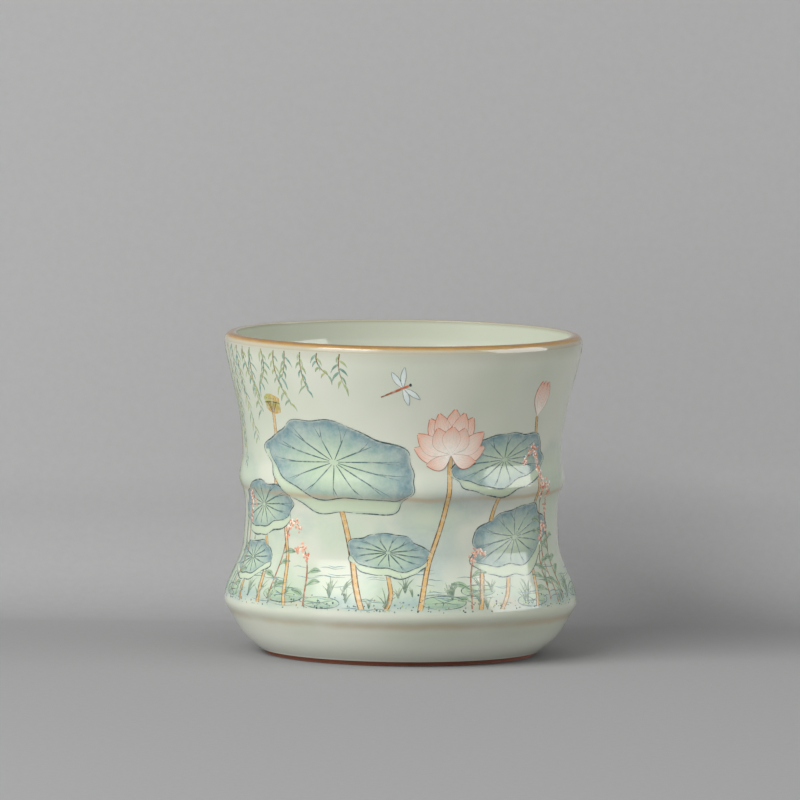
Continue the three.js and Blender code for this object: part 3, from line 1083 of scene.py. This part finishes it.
# Studio. A sweep of grey paper, a table that bends up into a wall close behind the cup, with painted shade
# along the bend and up its slope. The wall shows only from its front, so that it never hides the cup from
# behind.
TABLE_GREY = srgb(145, 145, 145)
BEND_PAINTED_SHADE = srgb(140, 140, 140)
SLOPE_PAINTED_SHADE = srgb(147, 147, 147)
WALL_GREY = srgb(163, 163, 163)
FOLD_LEVELS = (-0.004, 0.004)  # where one grey gives way to the next, measured up from the table
SLOPE_LEVELS = (0.003, 0.018)
WALL_LEVELS = (0.028, 0.046)
LEVEL_SLOPE = 0.084  # levels fall by this towards the back, as the camera's line of sight does
WALL_DISTANCE = 0.097
BEND_RADIUS = 0.036
STAGE_REACH = 6.0


def stage_finish(name, one_sided):
    material, shader, place = new_finish(name, Roughness=0.9, Specular_IOR_Level=0.0)
    grain = place.noise(0.0015)
    level = place.axis(2) + LEVEL_SLOPE * place.axis(1)
    # Painted shade: the paper is painted darker along the bend and up the slope above it, by height as seen
    # from the front.
    folded = level.within(*FOLD_LEVELS).blend(TABLE_GREY, BEND_PAINTED_SHADE)
    slope_shaded = level.within(*SLOPE_LEVELS).blend(folded, SLOPE_PAINTED_SHADE)
    paper = level.within(*WALL_LEVELS).blend(slope_shaded, WALL_GREY)
    plug(shader["Base Color"], (0.04 * grain).blend(paper, srgb(255, 255, 255)))
    if one_sided:
        nodes = material.node_tree.nodes
        back = Shade(nodes.new("ShaderNodeNewGeometry").outputs["Backfacing"])
        clear = back.node("BsdfTransparent")
        front = Shade(nodes["Principled BSDF"].outputs["BSDF"])
        surface = back.node("MixShader", {}, {0: back, 1: front, 2: clear})
        plug(nodes["Material Output"].inputs["Surface"], surface)
    return material


def stage_piece(name, form, finish):
    piece = made(name, form, finish)
    piece.data.shade_smooth()
    return piece


table_form = bmesh.new()
bmesh.ops.create_grid(table_form, x_segments=1, y_segments=1, size=STAGE_REACH)
stage_piece("table", table_form, stage_finish("table_paper", False))

wall_form = bmesh.new()
bend_line = arc((WALL_DISTANCE - BEND_RADIUS, BEND_RADIUS), (BEND_RADIUS, BEND_RADIUS), -90, 0, steps=24)
wall_line = [*bend_line, (WALL_DISTANCE, STAGE_REACH)]
wall_verts = [wall_form.verts.new((STAGE_REACH, y, z)) for y, z in wall_line]
wall_edges = [wall_form.edges.new(pair) for pair in zip(wall_verts, wall_verts[1:])]
swept = bmesh.ops.extrude_edge_only(wall_form, edges=wall_edges)
moved = [item for item in swept["geom"] if isinstance(item, bmesh.types.BMVert)]
bmesh.ops.translate(wall_form, verts=moved, vec=(-2 * STAGE_REACH, 0, 0))
bmesh.ops.reverse_faces(wall_form, faces=wall_form.faces)
backdrop = stage_piece("backdrop", wall_form, stage_finish("wall_paper", True))
backdrop.visible_shadow = False


# Light. A large softbox in front on the left with a low card under it, one on the right and one
# overhead, in a grey room that fills the shadows. What the glaze mirrors is set apart from them:
# a broad dim window and a brighter one above it on the left, and a crisp one on the right.
LAMPS = (  # azimuth and elevation in degrees, distance, width and height, radiance, only mirrored
    ("left_softbox", -42, 36, 2.4, 1.94, 0.84, 10.9, False),
    ("low_card", -60, 2, 0.35, 0.4, 0.08, 2.0, False),
    ("right_softbox", 94, 16, 1.2, 0.82, 0.66, 2.6, False),
    ("overhead_softbox", 20, 74, 1.2, 0.9, 0.9, 0.8, False),
    ("left_window", -44, 32.5, 1.2, 0.9, 0.74, 1.4, True),
    ("left_window_middle", -44, 32.5, 1.19, 0.78, 0.68, 1.2, True),
    ("left_window_above", -50, 56, 1.2, 0.66, 0.4, 8.5, True),
    ("right_window", 80, 22.3, 0.3, 0.23, 0.26, 4.9, True),
)
LAMP_AIM = Vector((0, 0, 0.035))
ROOM_GREY = 0.46


def softbox(name, azimuth, elevation, distance, width, height, radiance, mirrored):
    lamp = bpy.data.lights.new(name, "AREA")
    lamp.shape = "RECTANGLE"
    lamp.size = width
    lamp.size_y = height
    lamp.energy = radiance * math.pi * width * height
    a, e = math.radians(azimuth), math.radians(elevation)
    towards = Vector((math.sin(a) * math.cos(e), -math.cos(a) * math.cos(e), math.sin(e)))
    box = bpy.data.objects.new(name, lamp)
    box.location = LAMP_AIM + towards * distance
    box.rotation_euler = towards.to_track_quat("Z", "Y").to_euler()
    box.visible_diffuse = not mirrored
    box.visible_glossy = mirrored
    bpy.context.scene.collection.objects.link(box)


for lamp in LAMPS:
    softbox(*lamp)

world = bpy.data.worlds.new("grey_room")
world.use_nodes = True
world.node_tree.nodes["Background"].inputs["Color"].default_value = (ROOM_GREY, ROOM_GREY, ROOM_GREY, 1.0)
bpy.context.scene.world = world


# Camera. A long lens from well back and a little above the lip, rolled by two thirds of a degree.
CAMERA_HEIGHT = 0.308
CAMERA_DISTANCE = 2.99
AIM = Vector((-0.00061, 0.0, 0.05528))
LENS = 620.0
ROLL = 0.66
CLIP_END = 50.0

camera = bpy.data.cameras.new("camera")
camera.lens = LENS
camera.clip_end = CLIP_END
view = bpy.data.objects.new("camera", camera)
view.location = (AIM.x, -CAMERA_DISTANCE, CAMERA_HEIGHT)
look = (AIM - view.location).to_track_quat("-Z", "Y")
view.rotation_mode = "QUATERNION"
view.rotation_quaternion = look @ Quaternion((0, 0, 1), math.radians(ROLL))
bpy.context.scene.collection.objects.link(view)
bpy.context.scene.camera = view
bpy.context.scene.view_settings.view_transform = "Standard"
